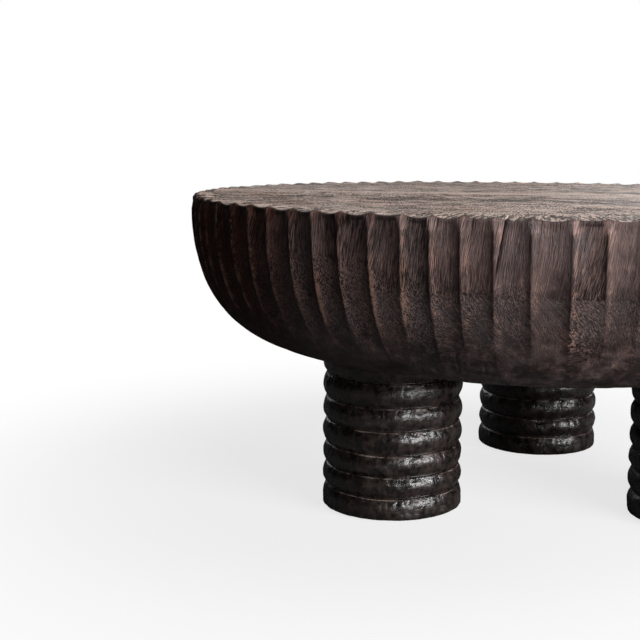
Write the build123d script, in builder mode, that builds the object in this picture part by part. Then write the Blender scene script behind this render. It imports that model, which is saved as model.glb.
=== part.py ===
from build123d import *
import os
from math import cos, pi, sin

# Drum table: a fluted bowl of solid timber, end grain on top, on three stout ringed legs.
# Each leg has a turned tenon in a mortise of the bowl's flat underside, and a long bolt up its middle
# draws the two together. The bolt's head and washer sit in a counterbore in the foot, under a felt pad.
# The origin is the middle of the floor under the table, +Z is up, and one leg stands at the rear on +Y.

# Driving dimensions, in mm

# The bowl
table_diameter = 1060.0  # over the arrises, at the widest level
table_height = 445.0
bowl_depth = 214.0  # from the top face down to the flat underside
bowl_overhang = 159.0  # how far the side stands out beyond the flat underside
rim_height = 22.0  # from the top face down to the widest level
side_fall = 128.0  # pull of the upright side on the bowl's curve
floor_run = 90.0  # pull of the flat underside on the bowl's curve
edge_round = 6.5  # radius of the worn edge between side and top
flute_count = 84
flute_depth = 7.0
flute_fade_power = 1.6  # how late the flutes fade out down the bowl: larger is later

# The legs
leg_count = 3
leg_diameter = 201.0  # over the rings
leg_inset = 16.0  # from the edge of the flat underside in to the leg
ring_count = 6
foot_band_height = 31.5  # the plain band below the lowest ring
groove_depth = 5.5
lip_height = 2.2  # the crisp step at the top of each ring
lip_depth = 2.4
foot_chamfer = 2.5

# The joint between leg and bowl
tenon_diameter = 90.0
tenon_length = 48.0
tenon_chamfer = 2.0
tenon_clearance = 0.2  # all round, in the mortise
mortise_gap = 4.0  # over the end of the tenon

# The fasteners
bolt_diameter = 12.0
bolt_head_flats = 18.0
bolt_head_height = 7.5
bolt_head_chamfer = 1.2
bolt_tip_gap = 1.0  # from the end of the bolt to the end of the insert
bolt_clearance = 0.5  # round the shank, in the leg's bore
thread_clearance = 0.1  # round the shank, in the insert
washer_diameter = 37.0
washer_thickness = 3.0
washer_clearance = 0.5  # round the shank, in the washer
counterbore_depth = 26.0
counterbore_clearance = 2.5  # round the washer
insert_wall = 4.0  # from the bolt out to the insert's own thread
insert_length = 30.0
insert_flange_width = 3.5  # how far the flange stands out beyond the barrel
insert_flange_thickness = 2.0
insert_clearance = 0.1  # round the insert, in the bowl
insert_bore_spare = 6.0  # depth of the bore beyond the insert

# The felt pads
pad_diameter = 150.0
pad_thickness = 1.5

# Sizes worked out from them
bowl_radius = table_diameter / 2
underside_level = table_height - bowl_depth
underside_radius = bowl_radius - bowl_overhang
widest_level = table_height - rim_height
leg_radius = leg_diameter / 2
leg_circle_radius = underside_radius - leg_inset - leg_radius
leg_bottom = pad_thickness
leg_top = underside_level
rings_bottom = leg_bottom + foot_band_height
ring_pitch = (leg_top - rings_bottom) / ring_count
mortise_roof = underside_level + tenon_length + mortise_gap
shank_radius = bolt_diameter / 2
insert_radius = shank_radius + insert_wall
washer_seat = leg_bottom + counterbore_depth
head_seat = washer_seat - washer_thickness
insert_top = mortise_roof + insert_length
bolt_length = insert_top - bolt_tip_gap - head_seat

# Where each leg stands, as an angle in degrees round the table's axis
leg_angles = {"rear": 90.0, "left": 210.0, "right": 330.0}


def on_circle(radius, turn):
    """A point of a circle about the table's axis, turn in radians."""
    return (radius * cos(turn), radius * sin(turn))


def fluted_outline(radius, depth):
    """Draw the closed outline of one level of the bowl: concave flutes that meet in sharp arrises."""
    pitch = 2 * pi / flute_count
    for flute in range(flute_count):
        start = on_circle(radius, flute * pitch)
        end = on_circle(radius, (flute + 1) * pitch)
        hollow = on_circle(radius - depth, (flute + 0.5) * pitch)
        pull = (2 * hollow[0] - (start[0] + end[0]) / 2, 2 * hollow[1] - (start[1] + end[1]) / 2)
        Bezier(start, pull, end)


def leg_place(angle):
    """The place of a leg's axis on the floor, turned so that every leg faces the table's axis alike."""
    x, y = on_circle(leg_circle_radius, angle * pi / 180)
    return Location((x, y, 0), (0, 0, angle))


# The bowl's meridian: upright at the widest level, level where it meets the flat underside
with BuildLine(Plane.XZ) as meridian:
    Bezier(
        (bowl_radius, widest_level),
        (bowl_radius, widest_level - side_fall),
        (underside_radius + floor_run, underside_level),
        (underside_radius, underside_level),
    )

# The worn edge: a quarter round from the side in to the top face
with BuildLine(Plane.XZ) as worn_edge:
    RadiusArc(
        (bowl_radius, table_height - edge_round),
        (bowl_radius - edge_round, table_height),
        -edge_round,
    )

# How far along each curve the hewn body has a level, from the underside up
meridian_stations = (1.0, 0.86, 0.72, 0.56, 0.38, 0.2, 0.0)
edge_stations = (0.0, 0.5, 1.0)

# Each level is a point of the profile and the depth of the flutes there: they fade out down the bowl
levels = []
for station in meridian_stations:
    levels.append((meridian.line @ station, flute_depth * (1 - station**flute_fade_power)))
for station in edge_stations:
    levels.append((worn_edge.line @ station, flute_depth))

with BuildPart() as drum_body:
    for point, depth in levels:
        with BuildSketch(Plane.XY.offset(point.Z)):
            with BuildLine():
                fluted_outline(point.X, depth)
            make_face()
    loft(ruled=True)
    # A mortise for each leg's tenon, and a bore for the threaded insert in its roof
    with BuildSketch(Plane.XY.offset(underside_level)):
        with PolarLocations(leg_circle_radius, leg_count, start_angle=leg_angles["rear"]):
            Circle(tenon_diameter / 2 + tenon_clearance)
    extrude(amount=tenon_length + mortise_gap, mode=Mode.SUBTRACT)
    with BuildSketch(Plane.XY.offset(mortise_roof)):
        with PolarLocations(leg_circle_radius, leg_count, start_angle=leg_angles["rear"]):
            Circle(insert_radius + insert_clearance)
    extrude(amount=insert_length + insert_bore_spare, mode=Mode.SUBTRACT)

# One leg about the origin: foot band and rings turned in one profile, tenon on top
with BuildPart() as leg_pattern:
    with BuildSketch(Plane.XZ):
        with BuildLine():
            groove_radius = leg_radius - groove_depth
            lip_radius = groove_radius + lip_depth
            Polyline(
                (0, leg_bottom),
                (leg_radius - foot_chamfer, leg_bottom),
                (leg_radius, leg_bottom + foot_chamfer),
                (leg_radius, (leg_bottom + rings_bottom) / 2),
                (lip_radius, rings_bottom - lip_height),
                (groove_radius, rings_bottom),
            )
            for ring in range(ring_count):
                low = rings_bottom + ring * ring_pitch
                high = low + ring_pitch
                Polyline(
                    (groove_radius, low),
                    (leg_radius, (low + high) / 2),
                    (lip_radius, high - lip_height),
                    (groove_radius, high),
                )
            Polyline(
                (groove_radius, leg_top),
                (tenon_diameter / 2, leg_top),
                (tenon_diameter / 2, leg_top + tenon_length - tenon_chamfer),
                (tenon_diameter / 2 - tenon_chamfer, leg_top + tenon_length),
                (0, leg_top + tenon_length),
                (0, leg_bottom),
            )
        make_face()
    revolve(axis=Axis.Z)
    with Locations((0, 0, leg_top + tenon_length)):
        Hole(shank_radius + bolt_clearance)
    with BuildSketch(Plane.XY.offset(leg_bottom)):
        Circle(washer_diameter / 2 + counterbore_clearance)
    extrude(amount=counterbore_depth, mode=Mode.SUBTRACT)

# The bolt: hexagon head below the washer, shank up into the insert
with BuildPart() as bolt_pattern:
    with BuildSketch(Plane.XY.offset(head_seat - bolt_head_height)):
        RegularPolygon(bolt_head_flats / 2, 6, major_radius=False)
    extrude(amount=bolt_head_height)
    chamfer(bolt_pattern.faces().sort_by(Axis.Z)[0].edges(), bolt_head_chamfer)
    with BuildSketch(Plane.XY.offset(head_seat)):
        Circle(shank_radius)
    extrude(amount=bolt_length)
    chamfer(bolt_pattern.faces().sort_by(Axis.Z)[-1].edges(), bolt_head_chamfer)

with BuildPart() as washer_pattern:
    with BuildSketch(Plane.XY.offset(head_seat)):
        Circle(washer_diameter / 2)
        Circle(shank_radius + washer_clearance, mode=Mode.SUBTRACT)
    extrude(amount=washer_thickness)

# The insert: its flange lies against the mortise's roof, its barrel is in the bore above
with BuildPart() as insert_pattern:
    with BuildSketch(Plane.XY.offset(mortise_roof - insert_flange_thickness)):
        Circle(insert_radius + insert_flange_width)
    extrude(amount=insert_flange_thickness)
    with BuildSketch(Plane.XY.offset(mortise_roof)):
        Circle(insert_radius)
    extrude(amount=insert_length)
    with Locations((0, 0, insert_top)):
        Hole(shank_radius + thread_clearance)

with BuildPart() as pad_pattern:
    with BuildSketch():
        Circle(pad_diameter / 2)
    extrude(amount=pad_thickness)

patterns = {
    "leg": leg_pattern,
    "leg_bolt": bolt_pattern,
    "bolt_washer": washer_pattern,
    "threaded_insert": insert_pattern,
    "felt_pad": pad_pattern,
}

os.makedirs("parts", exist_ok=True)
drum_body.part.label = "drum_body"
export_step(drum_body.part, "parts/drum_body.step")

for side, angle in leg_angles.items():
    for piece, pattern in patterns.items():
        with BuildPart() as placed:
            with Locations(leg_place(angle)):
                add(pattern.part)
        placed.part.label = f"{piece}_{side}"
        export_step(placed.part, f"parts/{piece}_{side}.step")
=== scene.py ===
"""Carved drum table: the finished pieces and the studio, laid out as an add-on that runs as a script."""

import math

import bpy
import numpy as np
from bpy.props import FloatProperty, FloatVectorProperty, IntProperty, PointerProperty
from mathutils import Matrix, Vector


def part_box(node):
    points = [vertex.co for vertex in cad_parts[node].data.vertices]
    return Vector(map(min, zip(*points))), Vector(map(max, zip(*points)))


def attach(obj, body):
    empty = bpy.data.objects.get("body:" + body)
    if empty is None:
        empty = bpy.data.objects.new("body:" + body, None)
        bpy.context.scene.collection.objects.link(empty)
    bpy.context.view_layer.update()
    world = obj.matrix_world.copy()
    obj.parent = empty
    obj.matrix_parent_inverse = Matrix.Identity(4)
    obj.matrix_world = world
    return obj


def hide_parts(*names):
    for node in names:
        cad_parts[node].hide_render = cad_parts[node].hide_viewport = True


bl_info = {
    "name": "Carved drum table",
    "version": (1, 0, 0),
    "blender": (4, 5, 0),
    "location": "3D View > Sidebar > Drum table",
    "description": "A fluted bowl of solid timber on ringed legs, with its fittings and a plain studio",
    "category": "Add Mesh",
}

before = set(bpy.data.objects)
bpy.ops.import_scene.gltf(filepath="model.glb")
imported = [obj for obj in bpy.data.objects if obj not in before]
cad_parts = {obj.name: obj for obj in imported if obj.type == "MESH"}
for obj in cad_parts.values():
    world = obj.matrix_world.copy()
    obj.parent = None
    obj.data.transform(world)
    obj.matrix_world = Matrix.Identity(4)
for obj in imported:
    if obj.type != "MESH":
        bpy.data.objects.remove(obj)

TURN = 2 * math.pi
COLUMNS = 12  # of the bowl's grid in each flute
CURVED_ROWS, UPRIGHT_ROWS = 56, 8  # of the bowl's grid below and above the widest level
LEG_COLUMNS = 300  # of each leg's grid
FLOOR_REACH = 30.0  # from the middle of the floor out to its sides
BOWL_LOW, BOWL_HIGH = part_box("drum_body")
LEG_BOXES = {side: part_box(f"leg_{side}") for side in ("rear", "left", "right")}

# The first arris at the front, and how far those from there on stand off their even places, in flute widths
FRONT_ARRIS = 48
FRONT_ERRORS = (-0.25, -0.4, -0.25, 0.0, 0.05, 0.1, 0.15, 0.05, 0.1, 0.1, 0.1, 0.0, -0.05, -0.1, -0.1)

# How dark and cold (-1) or light and warm (1) the flutes after the first front arris are
FRONT_TINTS = (-0.3, -0.4, -0.3, -0.3, -0.2, -0.2, -0.15, -0.2, -0.25, -0.3, -0.9, 0.0, 0.1, 0.3, 0.7)

# Drying checks in the side: the flute, the place across it and the depth below the top of the upper and the lower
# end, the width and the depth. One whose upper end is above the top runs out over the edge.
CHECKS = (
    (61, 0.33, -0.012, 0.03, 0.066, 0.0011, 0.006),
    (60, 0.45, -0.012, 0.22, 0.040, 0.0015, 0.0002),
    (59, 0.62, 0.158, 0.48, 0.206, 0.0005, 0.0002),
    (60, 0.55, 0.170, 0.45, 0.204, 0.0006, 0.0002),
    (73, 0.60, -0.012, 0.45, 0.060, 0.0014, 0.005),
    (4, 0.30, -0.012, 0.40, 0.083, 0.0018, 0.006),
    (22, 0.65, -0.012, 0.50, 0.053, 0.0013, 0.004),
    (34, 0.25, -0.012, 0.38, 0.075, 0.0016, 0.005),
)

# The level of each groove of a leg, from the one above its foot band up
GROOVES = (0.0330, 0.0636, 0.0937, 0.1277, 0.1613, 0.1949)

# Where the rows of one ring's grid stand, from its lower groove at 0 to its upper one at 1: close together at the lip
RING_ROWS = (0, 0.03, 0.08, 0.15, 0.23, 0.32, 0.42, 0.52, 0.62, 0.71, 0.79, 0.86, 0.91, 0.945, 0.97, 0.985)

# Each lamp's name, its place, the point that it faces, its width and height, and the setting that holds its power
LAMPS = (
    ("key_lamp", (2.42, -2.09, 0.90), (0, 0, 0.25), 2.3, 0.7, "key_power"),
    ("top_lamp", (1.5, -0.3, 2.3), (0, 0, 0.44), 1.8, 1.8, "top_power"),
    ("fill_lamp", (0.9, -2.9, 0.5), (0, 0, 0.2), 0.5, 0.5, "fill_power"),
    ("back_lamp", (0.9, 2.9, 1.1), (0, 0, 0.3), 1.5, 0.7, "back_power"),
    ("side_lamp", (-1.7, 2.8, 1.4), (0, 0, 0.3), 2.4, 1.2, "side_power"),
)


# Smooth noise and small curves, all on whole arrays


def lattice(x, y, z, seed):
    """A fixed number from 0 to 1 for each whole-number point, by mixing the bits of its coordinates."""
    h = x * 374761393 + y * 668265263 + z * 1442695041 + seed * 974634777
    h &= 0xFFFFFFFF
    h = ((h ^ (h >> 15)) * 2246822519) & 0xFFFFFFFF
    h = ((h ^ (h >> 13)) * 3266489917) & 0xFFFFFFFF
    return (h ^ (h >> 16)) / 0xFFFFFFFF


def noise(x, y, z, seed):
    """Smooth noise from -1 to 1: lattice values at a cell's eight corners, blended with t*t*t*(6*t*t - 15*t + 10)."""
    x, y, z = np.broadcast_arrays(x, y, z)
    corner = [np.floor(v).astype(np.int64) for v in (x, y, z)]
    blend = [t * t * t * (6 * t * t - 15 * t + 10) for t in (v - c for v, c in zip((x, y, z), corner))]
    total = np.zeros(x.shape)
    for i in (0, 1):
        for j in (0, 1):
            for k in (0, 1):
                weight = 1.0
                for t, on in zip(blend, (i, j, k)):
                    weight = weight * (t if on else 1 - t)
                total += weight * lattice(corner[0] + i, corner[1] + j, corner[2] + k, seed)
    return 2 * total - 1


def layered(x, y, z, seed, layers=3):
    """Noise plus finer noise: each layer has twice the detail of the last and half its height."""
    return sum(noise(x * 2**n, y * 2**n, z * 2**n, seed + n) / 2**n for n in range(layers))


def smooth(low, high, x):
    """0 below low and 1 above high, with t*t*(3 - 2*t) between."""
    t = np.clip((x - low) / (high - low), 0, 1)
    return t * t * (3 - 2 * t)


def bell(x, width):
    """A smooth peak: 1 at 0, falling off on both sides as exp(-(x / width)**2)."""
    return np.exp(-((x / width) ** 2))


def bezier(points, t):
    """The cubic with four control points: the sum of point n times 1, 3, 3, 1 times t**n * (1 - t)**(3 - n)."""
    weights = [(1 - t) ** 3, 3 * t * (1 - t) ** 2, 3 * t**2 * (1 - t), t**3]
    return tuple(sum(w * p[axis] for w, p in zip(weights, points)) for axis in (0, 1))


# Meshes


def grid_faces(rows, columns, first=0, closed=True):
    """Four corners of each cell of a grid of vertices, row after row; closed joins the last column to the first."""
    row = np.arange(rows - 1)[:, None] * columns
    column = np.arange(columns if closed else columns - 1)[None, :]
    nxt = (column + 1) % columns
    return (first + np.stack([row + column, row + nxt, row + columns + nxt, row + columns + column], -1)).reshape(-1, 4)


def fan_faces(ring, centre, outward):
    """A triangle from each edge of a closed ring of vertices to one centre vertex."""
    ends = (ring, np.roll(ring, -1)) if outward else (np.roll(ring, -1), ring)
    return np.stack([ends[0], ends[1], np.full(len(ring), centre)], -1)


def weld(points, quads, triangles, attributes):
    """Makes vertices at one place, to a thousandth of a millimetre, into one vertex."""
    _, kept, place = np.unique(np.round(points * 1e6), axis=0, return_index=True, return_inverse=True)
    place = place.reshape(-1)
    return points[kept], place[quads], place[triangles], {label: v[kept] for label, v in attributes.items()}


def make_piece(name, vertices, quads, triangles, attributes, material, slot, node):
    """Puts a finished surface into the scene as one piece that stands for a CAD node."""
    mesh = bpy.data.meshes.new(name)
    mesh.from_pydata(vertices.tolist(), [], quads.tolist() + triangles.tolist())
    for label, values in attributes.items():
        mesh.attributes.new(label, "FLOAT", "POINT").data.foreach_set("value", values.astype(np.float32))
    mesh.polygons.foreach_set("use_smooth", np.ones(len(mesh.polygons), bool))
    mesh.materials.append(material)
    mesh.validate()
    piece = bpy.data.objects.new(name, mesh)
    bpy.context.scene.collection.objects.link(piece)
    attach(piece, "root")
    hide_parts(node)


# Materials


class Value:
    """A shader socket that takes part in sums: an expression on it adds its Math nodes."""

    def __init__(self, finish, socket):
        self.finish, self.socket = finish, socket

    def math(self, operation, *others):
        given = {n: v for n, v in enumerate((self, *others))}
        return self.finish.node("Math", {"operation": operation}, given)

    def __add__(self, other):
        return self.math("ADD", other)

    def __sub__(self, other):
        return self.math("SUBTRACT", other)

    def __rsub__(self, other):
        return self.finish.node("Math", {"operation": "SUBTRACT"}, {0: other, 1: self})

    def __mul__(self, other):
        return self.math("MULTIPLY", other)

    def __truediv__(self, other):
        return self.math("DIVIDE", other)

    def __pow__(self, other):
        return self.math("POWER", other)

    def __abs__(self):
        return self.math("ABSOLUTE")

    __radd__, __rmul__ = __add__, __mul__

    def between(self, low, high):
        """0 below low, 1 above high and smooth between; low may be the larger."""
        given = {"Value": self, "From Min": low, "From Max": high}
        return self.finish.node("MapRange", {"interpolation_type": "SMOOTHSTEP"}, given)


class Finish:
    """One procedural material, or the world, made by expressions on its sockets."""

    def __init__(self, owner):
        self.owner = owner
        owner.use_nodes = True
        self.tree = owner.node_tree
        self.tree.nodes.clear()

    def node(self, kind, settings=None, given=None, out=0):
        """Adds a node, sets its settings first and then its sockets, and gives back one of its outputs."""
        made = self.tree.nodes.new("ShaderNode" + kind)
        for label, value in (settings or {}).items():
            setattr(made, label, value)
        for label, value in (given or {}).items():
            socket = made.inputs[label]
            if isinstance(value, Value):
                self.tree.links.new(value.socket, socket)
            else:
                socket.default_value = value
        return Value(self, made.outputs[out]) if made.outputs else None

    def place(self, scale=(1, 1, 1)):
        """Object coordinates, scaled by a Mapping node."""
        spot = self.node("TexCoord", out="Object")
        return self.node("Mapping", None, {"Vector": spot, "Scale": scale})

    def combine(self, x, y, z):
        return self.node("CombineXYZ", None, {0: x, 1: y, 2: z})

    def attribute(self, label):
        return self.node("Attribute", {"attribute_name": label}, out="Fac")

    def cloud(self, at, scale, detail=2.0, roughness=0.5, distortion=0.0):
        """Noise from about 0.25 to 0.75."""
        given = {"Vector": at, "Scale": scale, "Detail": detail, "Roughness": roughness, "Distortion": distortion}
        return self.node("TexNoise", None, given)

    def blend(self, amount, a, b, how="MIX"):
        """Colour a where amount is 0 and colour b where it is 1. Each is a socket or three numbers."""
        a, b = (shade if isinstance(shade, Value) else (*shade, 1.0) for shade in (a, b))
        return self.node("Mix", {"data_type": "RGBA", "blend_type": how}, {0: amount, 6: a, 7: b}, out=2)

    def lerp(self, amount, a, b):
        """Number a where amount is 0 and number b where it is 1."""
        return self.node("Mix", {"data_type": "FLOAT"}, {0: amount, 2: a, 3: b})

    def bump(self, height, strength, distance):
        return self.node("Bump", None, {"Height": height, "Strength": strength, "Distance": distance})

    def surface(self, given):
        """Ends the material in a Principled shader with these sockets."""
        shader = self.node("BsdfPrincipled", None, given)
        self.node("OutputMaterial", None, {"Surface": shader})
        return self.owner


def new_finish(name):
    return Finish(bpy.data.materials.new(name))


def end_grain(f, choice, x, y, across):
    """The top's colour and its relief: torn end grain, growth rings, short rays, a pale and a dark band, a paler
    heart, a pale margin at the front, one pale scar and one short dark crack."""
    heart_radius, ring_radius = 0.378, 0.337
    drift = f.cloud(f.combine(x, y, 0), 6, 3)
    reach = across + (drift - 0.5) * 0.06 + (f.cloud(f.combine(x, y, 0.6), 13, 3) - 0.5) * 0.09
    torn = f.cloud(f.combine(x, y, 0), 30, 6, 0.72, 0.4)
    pore = f.cloud(f.combine(x, y * 0.12, 0), 460, 2, 0.7).between(0.36, 0.64)
    ring = f.cloud(f.combine(reach, 0, drift * 0.05), 50, 4, 0.75)
    broad = f.cloud(f.combine(x * 0.6, y, 0), 15, 3, 0.6)
    ray = f.cloud(f.combine(x / across, y / across, across * 0.22), 150, 3, 0.65).between(0.36, 0.64)
    margin = (across + (torn - 0.5) * 0.10).between(0.40, 0.50)
    bent = y + (drift - 0.5) * 0.10
    band = abs(bent - 0.03).between(0.07, 0.0) * 0.20 - abs(bent + 0.16).between(0.09, 0.0) * 0.16
    front = margin * y.between(-0.20, -0.42)
    cells = (torn - 0.5) * 0.70 + (ring - 0.5) * 0.45 + (pore - 0.5) * 0.20 + (ray - 0.5) * (0.15 + margin * 0.20)
    cells = cells + band * 0.45 + (broad - 0.5) * 0.52
    # The top's pale colours are partly a painted sheen: lighter than the wood alone, they stand in for the light that
    # the top reflects at a glancing angle
    face = f.blend(cells.between(-0.15, 0.15), choice.top_dark, choice.top_pale_and_sheen)

    # Warm and cool patches
    blush = f.cloud(f.combine(x, y, 0.3), 11, 4, 0.65)
    face = f.blend(blush.between(0.50, 0.66) * 0.5, face, (1.0, 0.78, 0.66), "MULTIPLY")
    face = f.blend(blush.between(0.48, 0.36) * 0.4, face, (0.82, 0.86, 0.90), "MULTIPLY")

    # The heart, one dark growth ring inside it, and the margin
    heart = (across + (drift - 0.5) * 0.03 - heart_radius).between(0.008, -0.008)
    face = f.blend(heart * cells.between(-0.06, 0.12) * 0.5, face, choice.heart)
    line = abs(across + (drift - 0.5) * 0.05 - ring_radius).between(0.0045, 0.001)
    face = f.blend(line * 0.45, face, choice.top_dark)
    face = f.blend(front * cells.between(-0.10, 0.14) * 0.3, face, choice.heart)

    # The scar and the crack: each near a straight line, and faded out at its ends
    scar = abs(y - 0.018 - (x + 0.074) * 0.31).between(0.015, 0.006)
    scar = scar * (x + (torn - 0.5) * 0.1).between(-0.17, -0.12) * x.between(0.10, 0.03)
    face = f.blend(scar * 0.8, face, choice.heart)
    crack = abs(y + 0.189 + (x + 0.053) * 0.84).between(0.010, 0.003)
    crack = crack * x.between(-0.10, -0.085) * x.between(-0.005, -0.02)
    face = f.blend(crack * 0.75, face, choice.top_dark)
    return face, torn * 2.2 + pore * 0.25 + ring * 0.5


def bowl_timber(choice):
    """Dark oiled timber. Its fibres run upright: fine streaks in the upper side, short dashes where the bowl turns
    under, soft mottling below, and end grain on top."""
    f = new_finish("bowl_timber")
    labels = ("top", "wear", "thumb", "grime", "tint", "split", "blaze", "arris")
    top, wear, thumb, grime, tint, split, blaze, arris = (f.attribute(label) for label in labels)
    spot = f.node("TexCoord", out="Object")
    x, y, z = (f.node("SeparateXYZ", None, {0: spot}, out=n) for n in range(3))
    across = (x * x + y * y) ** 0.5
    down = BOWL_HIGH.z - z

    # A direction about the axis, which leans as it rises, and a length up the side
    patch = f.cloud(f.combine(x, y, z), 24, 4, 0.62)
    mottle = f.cloud(f.combine(x, y, z), 75, 3, 0.6)
    sway = f.cloud(f.combine(x, y, z * 0.3), 9, 1)
    lean = (0.11 - down) * ((sway - 0.5) * 1.2 + 0.28) + (abs(down - 0.09) + down - 0.09) * ((sway - 0.5) * 3.5 + 0.8)
    east = (x + y * lean) / across * choice.bowl_radius
    north = (y - x * lean) / across * choice.bowl_radius
    rise = across - down

    # Where the dashes and the mottling begin, and the fibres of each zone, stretched up the side
    low = (down + (patch - 0.5) * 0.05).between(0.120, 0.170)
    west = (x / across).between(-0.28, -0.60)
    mid = (down + (patch - 0.5) * 0.06 + west * 0.03).between(0.060, 0.100)
    fibre = f.cloud(f.combine(east, north, rise * 0.07), 900, 2, 0.6)
    dash = f.cloud(f.combine(east, north, rise * 0.28), 1050, 2, 0.6, 0.3)
    streak = f.cloud(f.combine(east, north, rise * 0.10), 170, 3, 0.6)
    stain = f.cloud(f.combine(east, north, rise * 0.22), 21, 2, 0.5)
    grain = f.lerp(mid, fibre, dash).between(0.34, 0.66) - 0.5

    # From dark to brown by the tone, and to grey in cold flutes and patches. The tone falls down the side as painted
    # shade where the bowl turns under, and dips most in a band about 115 mm below the top
    tone = grain * (0.45 + mid * 1.0 + west * 0.35 - low * 1.15) * (1.1 - tint * 1.5) + tint * 0.18
    tone = tone + (streak - 0.5) * (0.9 + west * 0.4 - low * 0.7)
    tone = tone + (patch - 0.5) * (0.8 + low * 1.2) + (mottle - 0.5) * (0.5 + low * 0.9)
    # Painted shade: darker down the side where the bowl turns under, most about 115 mm below the top
    tone = tone + 0.50 - down.between(0.03, 0.20) * 0.32 - abs(down - 0.115).between(0.050, 0.020) * 0.27
    side = f.blend(tone.between(-0.2, 1.2), choice.dark, choice.brown)
    cold = stain.between(0.46, 0.62) * 0.5 + tint.between(-0.3, -0.9) * 0.5 + low * 0.4
    side = f.blend(cold, side, f.blend(tone, choice.dark, choice.grey))

    # Wear beside the arrises, on their lit side, so partly a painted highlight; painted shade that makes the left flank
    # darker and redder; and painted highlights as broken pale lines on its arrises
    worn = (wear * 1.6 - 0.85 + (patch - 0.5) * 1.8 + (mottle - 0.5) * 1.6 + grain * 1.5).between(0.0, 1.0)
    side = f.blend(worn * 0.62, side, choice.worn)
    shaded_flank = ((x * -0.94 - y * 0.34) / across).between(0.80, 0.97)
    side = f.blend(shaded_flank, side, (0.64, 0.30, 0.20), "MULTIPLY")
    arris_glint = arris * shaded_flank * (mottle + grain * 0.2 + (streak - 0.5) * 0.8).between(0.44, 0.60)
    side = f.blend(arris_glint * 0.8, side, choice.arris_glint)

    # Painted shade in the creases left of the arrises and painted shadow under the rim's lip, red wood bared on the
    # arrises, and the rim rubbed pale or rusty
    side = f.blend((grime + (mottle - 0.5) * 0.8).between(0.2, 0.9) * 0.75, side, choice.dark)
    bared = (blaze * 0.9 + (mottle - 0.5) * 2.4 + grain * 0.8).between(0.35, 1.0)
    side = f.blend(bared * 0.5, side, choice.blaze)
    rubbed = (thumb * 1.5 - 0.65 + (mottle - 0.5) * 1.6 + grain * 1.1).between(0.0, 0.9)
    rust = abs(tint + 0.28).between(0.22, 0.14) * (patch + west * 0.3).between(0.42, 0.60)
    side = f.blend(rubbed * 0.65, side, f.blend(rust, choice.rubbed, choice.rust))

    face, relief = end_grain(f, choice, x, y, across)
    shade = f.blend(top, side, face)
    shade = f.blend(split.between(0.15, 0.6), shade, (0.002, 0.0015, 0.001))
    rough = 0.50 + grain * 0.25 + (patch - 0.5) * 0.5 + top * 0.12 + shaded_flank * 0.4
    height = f.lerp(mid, fibre, dash) * (1 - low * 0.7) * 1.3 + streak * 0.7 + patch * low * 1.2 + mottle * 0.8
    normal = f.bump(f.lerp(top, height, relief), 1.0, 0.0015)
    return f.surface({"Base Color": shade, "Roughness": rough, "Normal": normal, "Specular IOR Level": 0.24})


def leg_timber(choice):
    """Near-black polished timber with upright tool marks that break up its gloss, painted shade in the grooves, and tan
    wear on each ring's lip that is also a painted highlight where light from above catches it.
    """
    f = new_finish("leg_timber")
    groove, lip = f.attribute("groove"), f.attribute("lip")
    mark = f.cloud(f.place((1, 1, 0.8)), 130, 2, 0.5)
    fine = f.cloud(f.place(), 560, 2, 0.6)
    patch = f.cloud(f.place((1, 1, 2)), 38, 3, 0.6)
    tone = (mark * 0.6 + patch * 0.4).between(0.38, 0.66)
    shade = f.blend(tone, choice.leg_dark, choice.leg_brown)
    shade = f.blend((patch + (fine - 0.5) * 0.6).between(0.54, 0.76) * 0.5, shade, choice.leg_grey)
    # Painted shade in the grooves and where the leg meets the bowl
    shade = f.blend(groove.between(0.3, 1.0) * 0.9, shade, (0.0015, 0.001, 0.001))
    # Tan wear on each ring's lip, also a painted highlight where light from above catches the lip
    rubbed = (lip + (patch - 0.5) * 1.5 + (fine - 0.5) * 0.5).between(0.55, 1.05)
    shade = f.blend(rubbed * 0.75, shade, choice.lip)
    rough = 0.31 + (patch - 0.5) * 0.35 + (mark - 0.5) * 0.28
    normal = f.bump(mark * 0.9 + fine * 0.16 + patch * 1.1, 0.65, 0.0020)
    given = {"Base Color": shade, "Roughness": rough, "Normal": normal, "Specular IOR Level": 0.5}
    return f.surface(given)


def turned_steel():
    """Zinc-plated steel with faint machining marks."""
    f = new_finish("turned_steel")
    mark = f.cloud(f.place((1, 1, 6)), 300, 3)
    shade = f.blend(mark, (0.42, 0.43, 0.45), (0.66, 0.66, 0.68))
    given = {"Base Color": shade, "Metallic": 1.0, "Roughness": 0.25 + mark * 0.25}
    given["Normal"] = f.bump(mark, 0.2, 0.0003)
    return f.surface(given)


def cast_brass():
    """Brass with a light tarnish."""
    f = new_finish("cast_brass")
    tarnish = f.cloud(f.place(), 160, 4)
    shade = f.blend(tarnish.between(0.4, 0.7), (0.76, 0.58, 0.28), (0.42, 0.30, 0.14))
    given = {"Base Color": shade, "Metallic": 1.0, "Roughness": 0.22 + tarnish * 0.3}
    given["Normal"] = f.bump(tarnish, 0.2, 0.0003)
    return f.surface(given)


def pressed_felt():
    """Dark felt: short hairs in every direction with a soft nap."""
    f = new_finish("pressed_felt")
    hair = f.cloud(f.place(), 1400, 4, 0.7, 1.5)
    lump = f.cloud(f.place(), 130, 3)
    shade = f.blend((hair * 0.7 + lump * 0.3).between(0.35, 0.68), (0.035, 0.028, 0.024), (0.13, 0.11, 0.095))
    given = {"Base Color": shade, "Roughness": 0.95, "Normal": f.bump(hair + lump * 0.5, 0.8, 0.0008)}
    return f.surface(given)


# The bowl


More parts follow.
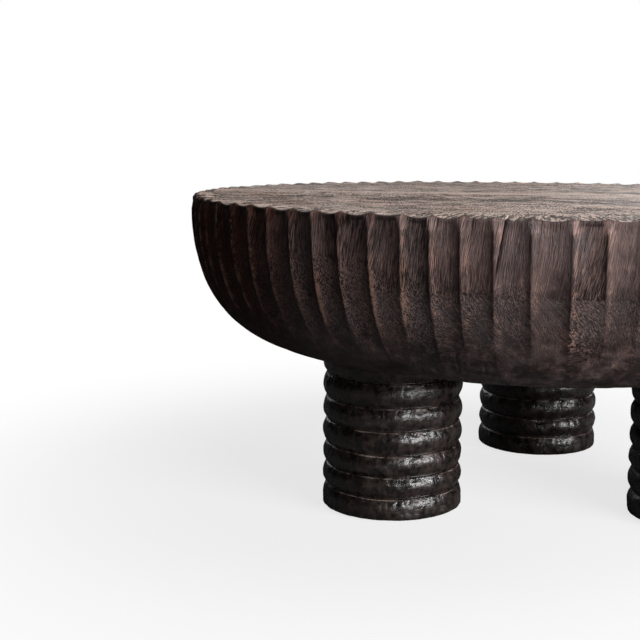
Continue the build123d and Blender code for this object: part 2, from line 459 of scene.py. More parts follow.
def flute_columns(choice):
    """Where the columns of the grid stand: each flute has columns close together at its arris and wide apart in its
    hollow. Gives each column's flute number and its place across the flute, from 0 at one arris to 1 at the next."""
    across = np.array([0.0, 0.035, 0.085, 0.165, 0.27, 0.385, 0.5, 0.615, 0.73, 0.835, 0.915, 0.965])
    flute = np.repeat(np.arange(choice.flute_count), COLUMNS)
    return flute, np.tile(across, choice.flute_count)


def set_front(flute, by_hand, others):
    """The values listed for the flutes from the first front arris on, and the given ones for the others."""
    place = flute - FRONT_ARRIS
    front = (place >= 0) & (place < len(by_hand))
    return np.where(front, np.array(by_hand)[np.where(front, place, 0)], others)


def arris_turn(choice, flute, height):
    """The angle of an arris: an even share of the turn, plus a hand's error of up to about a tenth of a flute, listed
    for the arrises at the front, that drifts a little down the side."""
    pitch = TURN / choice.flute_count
    k = flute % choice.flute_count
    error = set_front(k, FRONT_ERRORS, 0.10 * noise(k * 0.77, 3.3, 0.0, 11))
    error = error + 0.05 * noise(k * 1.31, height * 7, 0.0, 12)
    return math.radians(choice.flute_phase) + pitch * (flute + error)


def open_checks(across, drop, pitch):
    """Moves three columns of a flute on to each drying check: its two lips and its bottom. The place across the flute
    goes in a straight line from the check's upper end to its lower end, and the other columns share out the rest.
    The columns turn back to their own places within 20 mm of its ends. The cut reaches its full depth over 10 mm at
    the upper end, and runs out over 30 mm at the lower one. Gives the new places, how far each point is cut in, and
    the cut's share of the check's full depth."""
    base = across.copy()
    places = np.repeat(across[None, :], len(drop), axis=0)
    cut, split = np.zeros_like(places), np.zeros_like(places)
    for flute, high_u, high, low_u, low, width, depth in CHECKS:
        own = slice(flute * COLUMNS, (flute + 1) * COLUMNS)
        column = int(np.argmin(np.abs(base[own] - (high_u + low_u) / 2)))
        stops = base[own][column - 1 : column + 2]
        down = np.clip((drop - high) / (low - high), 0, 1)
        near = smooth(high - 0.02, high, drop) * smooth(low + 0.02, low, drop)
        fade = smooth(high, high + 0.010, drop) * smooth(low, low - 0.030, drop)
        centre = high_u + (low_u - high_u) * down
        half = width / pitch * (0.5 + 0.5 * fade) / 2
        moved = [stop + (lip - stop) * near for stop, lip in zip(stops, (centre - half, centre, centre + half))]
        u = places[:, own]
        places[:, own] = np.select(
            [u <= stops[0], u <= stops[1], u <= stops[2]],
            [
                u * moved[0] / stops[0],
                moved[0] + (moved[1] - moved[0]) * (u - stops[0]) / (stops[1] - stops[0]),
                moved[1] + (moved[2] - moved[1]) * (u - stops[1]) / (stops[2] - stops[1]),
            ],
            moved[2] + (1 - moved[2]) * (u - stops[2]) / (1 - stops[2]),
        )
        cut[:, flute * COLUMNS + column] += (depth * fade)[:, 0]
        split[:, flute * COLUMNS + column] += fade[:, 0]
    return places, cut, split


def bowl_meridian(choice):
    """The side's meridian, row after row from the flat underside up: a cubic to the widest level, then upright.

    Gives each row's place s on the cubic, from 1 at the underside to 0 at the widest level and above it, its radius
    and its level, the way out of the wood, square to the curve, and the upright rows' share of the way up."""
    radius, widest = choice.bowl_radius, BOWL_HIGH.z - choice.rim_height
    under, level = choice.underside_radius, BOWL_LOW.z
    path = [(radius, widest), (radius, widest - choice.side_fall), (under + choice.floor_run, level), (under, level)]
    s = np.concatenate([np.linspace(1, 0, CURVED_ROWS), np.zeros(UPRIGHT_ROWS)])[:, None]
    r, z = bezier(path, s)
    climb = np.linspace(0, 1, UPRIGHT_ROWS + 1)[1:, None]
    z[CURVED_ROWS:] += (choice.rim_height - choice.edge_round) * climb
    ahead, behind = bezier(path, np.clip(s + 0.01, 0, 1)), bezier(path, np.clip(s - 0.01, 0, 1))
    out_r, out_z = behind[1] - ahead[1], -(behind[0] - ahead[0])
    size = np.hypot(out_r, out_z)
    out_r, out_z = out_r / size, out_z / size
    out_r[CURVED_ROWS:], out_z[CURVED_ROWS:] = 1, 0
    return s, r, z, out_r, out_z, climb


def flute_marks(flute, u, s, z, brink, scoop, near, thumb, split):
    """What the side's timber shows at each point, from 0 to 1, mostly as bells of u, the place across the flute: wear
    just right of each arris, on its lit side, so partly a painted highlight, bared red wood beside it, the arris
    itself, a thumbed rim, painted shade in the crease left of each arris and painted shadow under the rim's lip. Also
    each flute's tint, and the drying checks."""
    # Wear, set on the lit side of each arris, so partly a painted highlight
    wear = bell(u - 0.09, 0.10) * smooth(0.55, 0.20, s)
    blaze = bell(u - 0.05, 0.08) + 0.6 * bell(1 - u, 0.05)
    blaze = blaze * smooth(0.03, 0.12, s) * smooth(0.45, 0.30, s)
    tint = set_front(flute, FRONT_TINTS, 0.5 * noise(flute * 1.7, 0.0, 0.0, 28))
    # Painted shade in the crease left of each arris, on the wall of the flute that faces away from the light
    crease_shade = np.maximum(bell(1 - u - 0.04, 0.05), 0.42 * bell(1 - u, 0.22)) * smooth(0.45, 0.15, s)
    # Painted shadow under the rim's lip, in the hollows
    lip_shadow = bell(brink - z - 0.0020, 0.0025) * smooth(0.3, 0.8, scoop) * np.clip(0.5 - tint * 2.5, 0.15, 1)
    return {
        "wear": wear * (0.6 + 0.4 * noise(flute * 1.9, z * 14, 0.0, 26)),
        "blaze": blaze * np.clip(0.5 + 0.9 * noise(flute * 1.9, z * 9, 0.0, 29), 0, 1),
        "arris": bell(np.minimum(u, 1 - u), 0.06) * smooth(0.45, 0.20, s),
        "thumb": thumb * smooth(0.0, 0.35, near),
        "grime": np.maximum(crease_shade * (1 - near), 1.2 * lip_shadow * (1 - thumb)),
        "tint": np.broadcast_to(tint, z.shape),
        "top": np.zeros_like(z),
        "split": split,
    }


def bowl_side(choice):
    """The side, from the flat underside's edge up the meridian to the foot of the rim's rounded edge.

    A point is moved into the wood, square to the meridian, by flute_depth * (1 - |2u - 1|**2.5) with u its place
    across the flute. The depth fades towards the underside, and layers of noise add the gouge's steps and chatter and
    the hewn surface below. The rim is worn down by rim_drop in each hollow, and rubbed back by arris_wear just right
    of each arris."""
    flute, across = flute_columns(choice)
    s, r, z, out_r, out_z, climb = bowl_meridian(choice)
    across, cut, split = open_checks(across, BOWL_HIGH.z - z, TURN * choice.bowl_radius / choice.flute_count)
    left, right = arris_turn(choice, flute[None, :], z), arris_turn(choice, flute[None, :] + 1, z)
    turn = left + (right - left) * across
    x, y = np.cos(turn) * r, np.sin(turn) * r

    skew = 0.06 * noise(flute * 1.7, z * 5, 0.0, 21) - 0.05
    u = np.clip(across + skew * 4 * across * (1 - across), 0, 1)
    scoop = 1 - np.abs(2 * u - 1) ** 2.5
    scoop = np.clip(np.sqrt(scoop**2 + 0.07**2) - 0.03, 0, 1)

    # The rim: how far it is worn down, how wide its rounded edge is there, and the level where that edge begins
    hollow = (4 * u * (1 - u))[-1]
    drop = choice.rim_drop * hollow * (1 + 0.35 * noise(flute * 1.3, 0.0, 0.0, 31))
    drop = drop + 0.0005 * (1 + noise(flute * 2.7, 0.0, 0.0, 32)) + cut[-1] * 0.5
    edge = choice.edge_round * (0.3 + 0.7 * (1 - hollow) ** 2)
    brink = BOWL_HIGH.z - drop - edge
    widest = BOWL_HIGH.z - choice.rim_height
    z = np.repeat(z, len(flute), axis=1)
    z[CURVED_ROWS:] = widest + (brink - widest) * climb

    # The flutes, a little shallower in the last 7 mm below the brink
    lift = np.clip(1 - (brink - z) / 0.007, 0, 1)
    fade = (1 - smooth(choice.fade_start, choice.fade_end, s)) * (1 - 0.26 * lift)
    deep = choice.flute_depth * (1 + 0.16 * noise(flute * 2.3, z * 9, 0.0, 22)) * fade
    mid = smooth(0.02, 0.12, s) * smooth(0.95, 0.6, s)
    step = 0.0008 * layered(flute * 3.1 + across * 0.8, z * 26, 0.0, 23, 2)
    chatter = 0.00055 * layered(x * 120, y * 120, z * 90, 24, 2) * (0.25 + mid)
    hewn = 0.0016 * layered(x * 16, y * 16, z * 16, 25, 2) * smooth(0.45, 0.9, s)
    sink = deep * scoop + (step + chatter) * (0.3 + 0.7 * scoop) + hewn * smooth(1, 0.97, s)

    # The wear on the arrises, in the last 14 mm below the brink
    near = np.clip(1 - (brink - z) / 0.014, 0, 1)
    thumb = np.maximum(bell(u, 0.30), bell(1 - u, 0.07))
    thumb = thumb * (0.75 + 0.25 * noise(flute * 1.1, 5.0, 0.0, 27))
    sink = sink + choice.arris_wear * near * thumb + cut
    sink = np.where(s < 1, np.maximum(sink, 0), 0)
    r = r - sink * out_r
    z = z - sink * out_z
    marks = flute_marks(flute, u, s, z, brink, scoop, near, thumb, split)
    return turn, r, z, (hollow, drop, edge, brink, cut[-1]), marks


def bowl_rim(choice, side_r, rim, side_marks):
    """The rounded edge and the first stretch of the top. The edge is a quarter round from the side's upper end. From
    there the surface lies drop * (1 - share)**2 * (1 + share) below the top, with share the part of the way in to
    rim_wear, where it has come down by top_dish instead."""
    hollow, drop, edge, brink, cut = rim
    around = np.linspace(0, math.pi / 2, 6)[1:, None]
    round_r = side_r - edge * (1 - np.cos(around))
    round_z = brink + edge * np.sin(around)
    share = np.array([0.08, 0.20, 0.40, 0.68, 1.0])[:, None]
    inner = choice.bowl_radius - choice.rim_wear
    flat_r = round_r[-1] + (inner - round_r[-1]) * share
    open_end = np.clip(1 - share * 4, 0, 1)
    worn = drop * (1 - share) ** 2 * (1 + share) + choice.top_dish * smooth(0.1, 0.9, share)
    flat_z = BOWL_HIGH.z - worn - cut * open_end
    rows_r, rows_z = np.vstack([round_r, flat_r]), np.vstack([round_z, flat_z])

    # How far each row's marks have gone over from the side's to the top's
    over = np.array([0.15, 0.35, 0.55, 0.72, 0.85, 0.94, 1, 1, 1, 1])[:, None]
    last = {label: np.repeat(values[-1:], len(over), axis=0) for label, values in side_marks.items()}
    attributes = {label: values * (1 - over**3) for label, values in last.items()}
    # The same wear mark on the edge by the arrises, partly a painted highlight
    attributes["wear"] = (1 - over) * 0.8 * (1 - hollow)
    attributes["tint"] = last["tint"]
    attributes["top"] = np.broadcast_to(smooth(0.65, 1.0, over), rows_r.shape)
    attributes["split"] = side_marks["split"][-1] * np.vstack([np.ones_like(around), open_end])
    return rows_r, rows_z, attributes


def ray_hit(centre, towards, reach):
    """Where lines from a centre towards given points meet a circle about it."""
    way = towards - centre
    return centre + reach * way / np.linalg.norm(way, axis=1, keepdims=True)


def underside_sector(choice, side, arc):
    """A third of the underside, about one leg: rows from the sector's outline, which is an arc and two straight sides
    to the bowl's axis, on straight lines to the mortise's mouth, then up its wall, over its roof and up the insert's
    bore. Also gives the middle of that bore's end."""
    way_in = np.linspace(1, 0, 21)[1:-1, None]
    middle = leg_centre(side)
    outline = np.vstack([arc, arc[-1] * way_in, np.zeros((1, 2)), arc[0] * way_in[::-1]])
    hole = ray_hit(middle, outline, choice.tenon_radius + choice.tenon_room)
    bore = ray_hit(middle, outline, choice.insert_room)
    roof = BOWL_LOW.z + choice.mortise_depth
    layers = [(outline + (hole - outline) * part, BOWL_LOW.z) for part in (0, 0.12, 0.3, 0.5, 0.7, 0.86, 1)]
    layers += [(hole, roof), (bore, roof), (bore, roof + choice.insert_bore)]
    rows = np.stack([np.column_stack([flat, np.full(len(flat), height)]) for flat, height in layers])
    return rows, np.array([[*middle, roof + choice.insert_bore]])


def make_bowl(choice):
    """Joins side, rim, top and underside into one closed skin, with a mortise for each leg's tenon."""
    turn, r, z, rim, marks = bowl_side(choice)
    rim_r, rim_z, rim_marks = bowl_rim(choice, r[-1], rim, marks)
    rim_turn = np.repeat(turn[-1:], len(rim_r), axis=0)
    columns = r.shape[1]
    turn, r, z = np.vstack([turn, rim_turn]), np.vstack([r, rim_r]), np.vstack([z, rim_z])
    marks = {label: np.vstack([marks[label], rim_marks[label]]) for label in marks}
    points = [np.stack([np.cos(turn) * r, np.sin(turn) * r, z], -1).reshape(-1, 3)]
    quads = [grid_faces(len(r), columns)]
    triangles = []
    count = r.size

    # The top: rows of an ever smaller circle, each with every third column of the rim, and a middle point
    last = (len(r) - 1) * columns + np.arange(columns)
    coarse = turn[-1][::3]
    reach = np.linspace(1, 0, 26)[1:-1, None] * (choice.bowl_radius - choice.rim_wear)
    x, y = np.cos(coarse) * reach, np.sin(coarse) * reach
    level = BOWL_HIGH.z - choice.top_dish
    lift = 0.0005 * layered(x * 9, y * 9, 0.0, 41, 3) * smooth(0.50, 0.46, reach)
    points.append(np.stack([x, y, level + lift], -1).reshape(-1, 3))
    quads.append(grid_faces(len(reach), len(coarse), count))
    inner = count + np.arange(len(coarse))
    fine = last.reshape(-1, 3)
    nxt, inner_nxt = np.roll(fine[:, 0], -1), np.roll(inner, -1)
    triangles += [
        np.stack([fine[:, 0], fine[:, 1], inner], -1),
        np.stack([fine[:, 1], fine[:, 2], inner_nxt], -1),
        np.stack([fine[:, 2], nxt, inner_nxt], -1),
        np.stack([fine[:, 1], inner_nxt, inner], -1),
    ]
    count += x.size
    points.append(np.array([[0, 0, level]]))
    triangles.append(fan_faces(count - len(coarse) + np.arange(len(coarse)), count, True))
    count += 1

    # The underside: three sectors, the first from 30 degrees on, halfway between the right leg and the rear one
    ring = points[0][:columns, :2]
    third = columns // 3
    first = int(np.argmin(np.abs(turn[0] - math.radians(30))))
    for number, side in enumerate(("rear", "left", "right")):
        rows, end = underside_sector(choice, side, ring[(first + number * third + np.arange(third + 1)) % columns])
        length, width = rows.shape[:2]
        points += [rows.reshape(-1, 3), end]
        quads.append(grid_faces(length, width, count)[:, ::-1])
        count += length * width
        triangles.append(fan_faces(count - width + np.arange(width), count, False))
        count += 1

    # Only side and rim have marks: of the other points, those up to 4 mm below the top's level are end grain
    points = np.concatenate(points)
    attributes = {}
    for label, values in marks.items():
        attributes[label] = np.concatenate([values.reshape(-1), np.zeros(len(points) - turn.size)])
    attributes["top"][turn.size :] = points[turn.size :, 2] > BOWL_HIGH.z - 0.004
    return weld(points, np.concatenate(quads), np.concatenate(triangles), attributes)


# The legs


def leg_centre(side):
    low, high = LEG_BOXES[side]
    return np.array([(low.x + high.x) / 2, (low.y + high.y) / 2])


def leg_side(choice, number, low, high, x, y):
    """The turned side of one leg: its foot band and rings, as rows of level, radius, painted groove shade and lip.

    Between two grooves the radius is groove_radius + swell * (1 - |2v - 1|**2.1) with v the place up the ring, and a
    crisp lip stands at each ring's top. The foot band keeps its radius down to the floor. The grooves wander up and
    down by up to 1.6 mm round the leg, and noise adds the tool's facets."""
    grooves = np.array(GROOVES)
    grooves = grooves + 0.0016 * noise(np.arange(len(grooves)) * 1.7, number * 5.1, 0.0, 51) * (number > 0)
    edges = np.concatenate([[low], grooves, [high]])
    count = len(edges) - 1
    rows = []
    for ring in range(count):
        v = np.array(RING_ROWS) if ring else np.linspace(0.0, RING_ROWS[-1], len(RING_ROWS))[3:]
        v = v[:, None]
        bottom, top = (
            edges[n] + 0.0011 * layered(x * 1.1, y * 1.1, 3.7 * n + number * 9, 52, 2) * (0 < n < count)
            for n in (ring, ring + 1)
        )
        swell = choice.leg_radius - choice.groove_radius
        swell = swell * (1 + 0.10 * noise(x * 1.5, y * 1.5, ring * 3.3 + number * 7, 53))
        shape = 1 - np.abs(2 * v - 1) ** 2.1
        if ring == 0:
            shape = np.where(v < 0.5, 1 - 0.25 * np.clip(0.12 - v, 0, 1) / 0.12, shape)
        z = bottom + (top - bottom) * v
        crest = bell(v - 0.93, 0.028)
        facet = 0.0007 * layered(x * 9, y * 9, z * 55 + number * 3, 54, 3)
        fine = 0.00025 * noise(x * 38, y * 38, z * 170, 55)
        near = smooth(0, 0.2, v) * smooth(1, 0.85, v)
        r = choice.groove_radius + swell * shape + (facet + fine) * near
        r = r + crest * 0.0013 * (0.6 + 0.4 * noise(x * 3, y * 3, ring * 1.9 + number, 56))
        # Painted shade: dark in each groove, where the ring turns in
        dark = smooth(0.30, 0.02, shape) * smooth(1.05, 0.9, 1 - crest)
        rows.append([z, r, np.broadcast_to(dark, r.shape), np.broadcast_to(crest, r.shape)])
    return [np.vstack(part) for part in zip(*rows)]


def make_leg(choice, side, number):
    """One ringed leg with its tenon, counterbore and bolt bore, as a closed skin of revolution: level rows from the
    counterbore's roof down and out to the foot's small round edge, the turned side, and rows over the tenon."""
    centre = leg_centre(side)
    low, high = LEG_BOXES[side][0].z, BOWL_LOW.z
    turn = np.linspace(0, TURN, LEG_COLUMNS, endpoint=False)[None, :]
    x, y = np.cos(turn), np.sin(turn)
    turned = leg_side(choice, number, low, high, x, y)
    edge_r = turned[1][:1] - np.array([0.0018, 0.0007, 0.0001])[:, None]
    edge_z = low + np.array([0.0002, 0.0008, 0.0020])[:, None] + np.zeros_like(edge_r)

    def level_row(radius, height, dark=0.0):
        return [np.full((1, LEG_COLUMNS), value) for value in (height, radius, dark, 0.0)]

    bore, wall, roof = choice.bolt_room, choice.counterbore, low + choice.counterbore_depth
    tenon, top, tip = choice.tenon_radius, high + choice.tenon_length, 0.002
    rows = [
        level_row(bore, roof),
        level_row(wall, roof),
        level_row(wall, low),
        level_row(choice.leg_radius - 0.02, low),
        level_row(choice.leg_radius - 0.006, low),
        [edge_z, edge_r, np.zeros_like(edge_r), np.zeros_like(edge_r)],
        [part[1:] for part in turned],
        # Fully dark where the leg meets the bowl: painted shade
        level_row(choice.groove_radius, high, 1.0),
        level_row(tenon, high),
        level_row(tenon, top - tip),
        level_row(tenon - tip, top),
        level_row(bore, top),
    ]
    z, r, dark, lip = (np.vstack(part) for part in zip(*rows))
    points = np.stack([centre[0] + r * x, centre[1] + r * y, z], -1).reshape(-1, 3)
    quads = grid_faces(len(z) + 1, LEG_COLUMNS) % len(points)
    return points, quads, np.zeros((0, 3), int), {"groove": dark.reshape(-1), "lip": lip.reshape(-1)}


# Settings


class TableBowlSettings(bpy.types.PropertyGroup):
    bowl_radius: FloatProperty(
        name="Bowl radius", description="Over the arrises, at the widest level", default=BOWL_HIGH.x, unit="LENGTH"
    )
    rim_height: FloatProperty(
        name="Rim height", description="From the top down to the widest level", default=0.022, unit="LENGTH"
    )
    underside_radius: FloatProperty(
        name="Underside radius", description="Of the flat underside", default=0.371, unit="LENGTH"
    )
    side_fall: FloatProperty(
        name="Side fall", description="Pull of the upright side on the bowl's curve", default=0.128, unit="LENGTH"
    )
    floor_run: FloatProperty(
        name="Floor run", description="Pull of the flat underside on the bowl's curve", default=0.090, unit="LENGTH"
    )
    edge_round: FloatProperty(name="Edge round", description="Radius of the worn edge", default=0.0065, unit="LENGTH")
    flute_count: IntProperty(name="Flutes", description="Number of flutes round the side", default=84)
    flute_depth: FloatProperty(name="Flute depth", description="In the hollow", default=0.0050, unit="LENGTH")
    fade_start: FloatProperty(
        name="Fade start", description="Where the flutes begin to fade down the side", default=0.10
    )
    fade_end: FloatProperty(name="Fade end", description="Where the flutes are gone", default=0.64)
    flute_phase: FloatProperty(name="Flute phase", description="Turn of the first arris, in degrees", default=0.65)
    rim_drop: FloatProperty(
        name="Rim drop", description="Wear of the rim in each hollow", default=0.0034, unit="LENGTH"
    )
    arris_wear: FloatProperty(
        name="Arris wear", description="How far each arris is worn back at the rim", default=0.0035, unit="LENGTH"
    )
    top_dish: FloatProperty(name="Top dish", description="Top below the arrises", default=0.0016, unit="LENGTH")
    rim_wear: FloatProperty(name="Rim wear", description="How far in the rim is worn", default=0.055, unit="LENGTH")
    tenon_radius: FloatProperty(name="Tenon radius", description="Of each leg's tenon", default=0.045, unit="LENGTH")
    tenon_room: FloatProperty(name="Tenon room", description="Round it in the mortise", default=0.0002, unit="LENGTH")
    mortise_depth: FloatProperty(name="Mortise depth", description="Into the bowl", default=0.052, unit="LENGTH")
    insert_room: FloatProperty(
        name="Insert bore", description="Radius of the insert's bore", default=0.0101, unit="LENGTH"
    )
    insert_bore: FloatProperty(name="Insert depth", description="Depth of its bore", default=0.036, unit="LENGTH")
    dark: FloatVectorProperty(name="Dark", description="Of the side", subtype="COLOR", default=(0.010, 0.0045, 0.0035))
    brown: FloatVectorProperty(name="Brown", description="Of the side", subtype="COLOR", default=(0.150, 0.096, 0.088))
    grey: FloatVectorProperty(name="Grey", description="Of the side", subtype="COLOR", default=(0.085, 0.066, 0.065))
    # Colour of the wear beside the arrises, which on their lit side is partly a painted highlight
    worn: FloatVectorProperty(name="Worn", description="Of the arrises", subtype="COLOR", default=(0.24, 0.140, 0.108))
    rust: FloatVectorProperty(name="Rust", description="Of the rim", subtype="COLOR", default=(0.21, 0.088, 0.062))
    # A painted highlight: pale lines on the arrises of the left flank, standing in for light glancing off them
    arris_glint: FloatVectorProperty(
        name="Ridge", description="Of the left arrises", subtype="COLOR", default=(0.30, 0.20, 0.155)
    )
    blaze: FloatVectorProperty(
        name="Blaze", description="Red wood bared on the arrises", subtype="COLOR", default=(0.24, 0.125, 0.088)
    )
    rubbed: FloatVectorProperty(name="Rubbed", description="Of the rim", subtype="COLOR", default=(0.29, 0.190, 0.170))
    top_dark: FloatVectorProperty(
        name="Top dark", description="Of the end grain", subtype="COLOR", default=(0.060, 0.042, 0.034)
    )
    # Partly a painted sheen: the top's pale colours stand in for its glancing reflection
    top_pale_and_sheen: FloatVectorProperty(
        name="Top pale", description="Of the end grain", subtype="COLOR", default=(0.68, 0.523, 0.446)
    )
    heart: FloatVectorProperty(
        name="Heart", description="Of the heartwood", subtype="COLOR", default=(0.74, 0.60, 0.53)
    )


class TableLegSettings(bpy.types.PropertyGroup):
    leg_radius: FloatProperty(name="Leg radius", description="Over the rings", default=0.1005, unit="LENGTH")
    groove_radius: FloatProperty(name="Groove radius", description="In the grooves", default=0.0945, unit="LENGTH")
    tenon_radius: FloatProperty(name="Tenon radius", description="Of the tenon", default=0.045, unit="LENGTH")
    tenon_length: FloatProperty(name="Tenon length", description="Above the leg", default=0.048, unit="LENGTH")
    bolt_room: FloatProperty(name="Bolt bore", description="Radius of the bolt's bore", default=0.0065, unit="LENGTH")
    counterbore: FloatProperty(name="Counterbore", description="Its radius", default=0.021, unit="LENGTH")
    counterbore_depth: FloatProperty(name="Counterbore depth", description="In the foot", default=0.026, unit="LENGTH")
    leg_dark: FloatVectorProperty(
        name="Dark", description="Of the legs", subtype="COLOR", default=(0.0045, 0.0032, 0.003)
    )
    leg_brown: FloatVectorProperty(
        name="Brown", description="Of the legs", subtype="COLOR", default=(0.026, 0.017, 0.014)
    )
    leg_grey: FloatVectorProperty(
        name="Grey", description="Of the legs", subtype="COLOR", default=(0.036, 0.031, 0.030)
    )
    # Colour of the wear on the lips, also a painted highlight where light from above catches them
    lip: FloatVectorProperty(name="Lip", description="Wear on the lips", subtype="COLOR", default=(0.27, 0.205, 0.185))


class TableStageSettings(bpy.types.PropertyGroup):
    eye_distance: FloatProperty(
        name="Eye distance", description="From the table's axis to the camera", default=1.8354, unit="LENGTH"
    )
    eye_height: FloatProperty(name="Eye height", description="Above the floor", default=0.5321, unit="LENGTH")
    eye_turn: FloatProperty(
        name="Eye turn", description="Where the camera stands, round the table's axis, in degrees", default=-2.2
    )
    eye_yaw: FloatProperty(name="Yaw", description="Turn of the camera to the left, in degrees", default=7.88)
    eye_pitch: FloatProperty(name="Pitch", description="Dip of the camera, in degrees", default=8.76)
    eye_roll: FloatProperty(name="Roll", description="Roll of the camera, in degrees", default=0.59)
    lens: FloatProperty(name="Lens", description="Focal length, in millimetres", default=68.0)
    shift: FloatProperty(name="Shift", description="Sideways shift, in picture widths", default=-0.09375)
    key_power: FloatProperty(name="Key light", description="Power of the main lamp, in watts", default=174.0)
    fill_power: FloatProperty(name="Fill light", description="Power of the fill lamp, in watts", default=7.6)
    back_power: FloatProperty(name="Back light", description="Power of the lamp behind, in watts", default=16.0)
    side_power: FloatProperty(
        name="Side light", description="Power of the lamp behind at the left, in watts", default=18.0
    )
    top_power: FloatProperty(name="Top light", description="Power of the overhead lamp, in watts", default=31.5)
    air: FloatProperty(name="Air", description="Brightness of the air on the object", default=0.04)
    floor_bounce: FloatProperty(
        name="Floor bounce", description="Share of light that the floor throws up", default=0.22
    )
    shine: FloatProperty(name="Shine", description="Brightness of the air in reflections", default=0.014)


# Operators


class CarveBowl(bpy.types.Operator):
    """Carves the fluted bowl with its worn rim, end-grain top and mortises"""

    bl_idname = "drum_table.carve_bowl"
    bl_label = "Carve bowl"

    def execute(self, context):
        choice = context.scene.table_bowl
        shape = make_bowl(choice)
        make_piece("bowl", *shape, bowl_timber(choice), "bowl_wood", "drum_body")
        return {"FINISHED"}


class TurnLegs(bpy.types.Operator):
    """Turns the three ringed legs with their tenons"""

    bl_idname = "drum_table.turn_legs"
    bl_label = "Turn legs"

    def execute(self, context):
        choice = context.scene.table_legs
        timber = leg_timber(choice)
        for number, side in enumerate(("left", "rear", "right")):
            shape = make_leg(choice, side, number)
            make_piece(f"ringed_leg_{side}", *shape, timber, "leg_wood", f"leg_{side}")
        return {"FINISHED"}


class FinishFittings(bpy.types.Operator):
    """Gives the bolts, washers, inserts and felt pads their finishes"""

    bl_idname = "drum_table.finish_fittings"
    bl_label = "Finish fittings"

    def execute(self, context):
        steel, brass, felt = turned_steel(), cast_brass(), pressed_felt()
        finishes = {"leg_bolt": steel, "bolt_washer": steel, "threaded_insert": brass, "felt_pad": felt}
        for name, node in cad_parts.items():
            for start, finish in finishes.items():
                if name.startswith(start):
                    node.data.materials.clear()
                    node.data.materials.append(finish)
        return {"FINISHED"}


def studio_air(choice):
    """The world: white to the camera and through glass, and low plain levels of light in reflections and on the
    object."""
    f = Finish(bpy.data.worlds.new("studio_air"))
    seen = f.node("LightPath", out="Is Camera Ray").math("MAXIMUM", f.node("LightPath", out="Is Transmission Ray"))
    mirrored = f.node("LightPath", out="Is Glossy Ray")
    level = f.lerp(seen, f.lerp(mirrored, choice.air, choice.shine), 1.0)
    back = f.node("Background", None, {"Color": (1, 1, 1, 1), "Strength": level})
    f.node("OutputWorld", None, {"Surface": back})
    bpy.context.scene.world = f.owner


def studio_floor(choice):
    """A pale floor that keeps the table's shadow near it and is plain white further away. It throws little light back
    up, as a dark cloth would, so that the underside stays in shade."""
    f = new_finish("studio_floor")
    across = f.node("VectorMath", {"operation": "LENGTH"}, {0: f.place((1, 1, 0))}, out="Value")
    speck = f.cloud(f.place(), 60, 3)
    shade = f.blend(speck, (0.84, 0.84, 0.84), (0.88, 0.88, 0.88))
    eye = f.node("LightPath", out="Is Camera Ray")
    shade = f.blend(eye, (choice.floor_bounce,) * 3, shade)
    paint = f.node("BsdfPrincipled", None, {"Base Color": shade, "Roughness": 0.85, "Specular IOR Level": 0.0})
    white = f.node("Emission", None, {"Color": (1, 1, 1, 1), "Strength": 1.0})
    pale = (across.between(0.45, 1.2) * 0.25 + 0.75) * eye
    mixed = f.node("MixShader", None, {0: pale, 1: paint, 2: white})
    f.node("OutputMaterial", None, {"Surface": mixed})
    mesh = bpy.data.meshes.new("studio_floor")
    corners = [(x * FLOOR_REACH, y * FLOOR_REACH, 0) for x, y in ((-1, -1), (1, -1), (1, 1), (-1, 1))]
    mesh.from_pydata(corners, [], [(0, 1, 2, 3)])
    mesh.materials.append(f.owner)
    floor = bpy.data.objects.new("studio_floor", mesh)
    bpy.context.scene.collection.objects.link(floor)


def soft_lamp(name, place, aim, width, height, power):
    """A rectangular lamp that faces a point."""
    data = bpy.data.lights.new(name, "AREA")
    data.shape = "RECTANGLE"
    data.size, data.size_y, data.energy = width, height, power
    lamp = bpy.data.objects.new(name, data)
    way = np.array(aim) - np.array(place)
    back = -way / np.linalg.norm(way)
    side = np.cross((0, 0, 1), back)
    side /= np.linalg.norm(side)
    up = np.cross(back, side)
    lamp.matrix_world = Matrix([(side[n], up[n], back[n], place[n]) for n in range(3)] + [(0, 0, 0, 1)])
    bpy.context.scene.collection.objects.link(lamp)


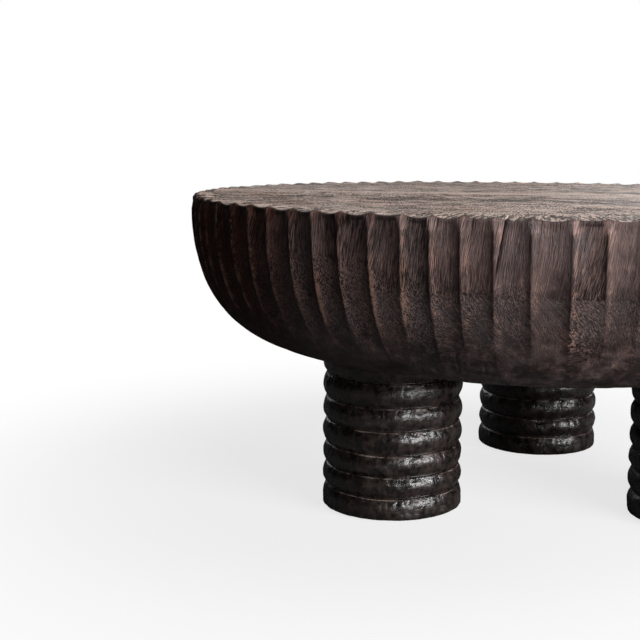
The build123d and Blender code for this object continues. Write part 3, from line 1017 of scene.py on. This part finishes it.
class SetStage(bpy.types.Operator):
    """Sets up the camera, the lamps, the air and the floor"""

    bl_idname = "drum_table.set_stage"
    bl_label = "Set stage"

    def execute(self, context):
        choice = context.scene.table_stage
        yaw, pitch, roll = (math.radians(v) for v in (choice.eye_yaw, choice.eye_pitch, choice.eye_roll))
        forward = np.array([-math.sin(yaw) * math.cos(pitch), math.cos(yaw) * math.cos(pitch), -math.sin(pitch)])
        right = np.array([math.cos(yaw), math.sin(yaw), 0])
        up = np.cross(right, forward)
        rolled_right = right * math.cos(roll) + up * math.sin(roll)
        rolled_up = -right * math.sin(roll) + up * math.cos(roll)
        spot = np.array([0, -choice.eye_distance, choice.eye_height])
        about = Matrix.Rotation(math.radians(choice.eye_turn), 4, "Z")
        rows = [(rolled_right[n], rolled_up[n], -forward[n], spot[n]) for n in range(3)] + [(0, 0, 0, 1)]
        data = bpy.data.cameras.new("eye")
        data.sensor_width, data.lens, data.shift_x = 36.0, choice.lens, choice.shift
        camera = bpy.data.objects.new("eye", data)
        camera.matrix_world = about @ Matrix(rows)
        context.scene.collection.objects.link(camera)
        context.scene.camera = camera
        for name, place, aim, width, height, power in LAMPS:
            soft_lamp(name, place, aim, width, height, getattr(choice, power))
        studio_air(choice)
        studio_floor(choice)
        context.scene.view_settings.view_transform = "Standard"
        return {"FINISHED"}


class TablePanel(bpy.types.Panel):
    """The table's settings and steps"""

    bl_label = "Drum table"
    bl_idname = "VIEW3D_PT_drum_table"
    bl_space_type = "VIEW_3D"
    bl_region_type = "UI"
    bl_category = "Drum table"

    def draw(self, context):
        for label, settings in (
            ("Bowl", context.scene.table_bowl),
            ("Legs", context.scene.table_legs),
            ("Stage", context.scene.table_stage),
        ):
            box = self.layout.box()
            box.label(text=label)
            for name in settings.__annotations__:
                box.prop(settings, name)
        for step in STEPS:
            self.layout.operator(step.bl_idname)


STEPS = (CarveBowl, TurnLegs, FinishFittings, SetStage)
SETTINGS = {
    "table_bowl": TableBowlSettings,
    "table_legs": TableLegSettings,
    "table_stage": TableStageSettings,
}


def register():
    for cls in (*SETTINGS.values(), *STEPS, TablePanel):
        bpy.utils.register_class(cls)
    for label, cls in SETTINGS.items():
        setattr(bpy.types.Scene, label, PointerProperty(type=cls))


def unregister():
    for label in SETTINGS:
        delattr(bpy.types.Scene, label)
    for cls in (TablePanel, *reversed(STEPS), *reversed(list(SETTINGS.values()))):
        bpy.utils.unregister_class(cls)


def main():
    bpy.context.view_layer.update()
    register()
    bpy.ops.drum_table.carve_bowl()
    bpy.ops.drum_table.turn_legs()
    bpy.ops.drum_table.finish_fittings()
    bpy.ops.drum_table.set_stage()
    bpy.context.view_layer.update()


if __name__ == "__main__":
    main()
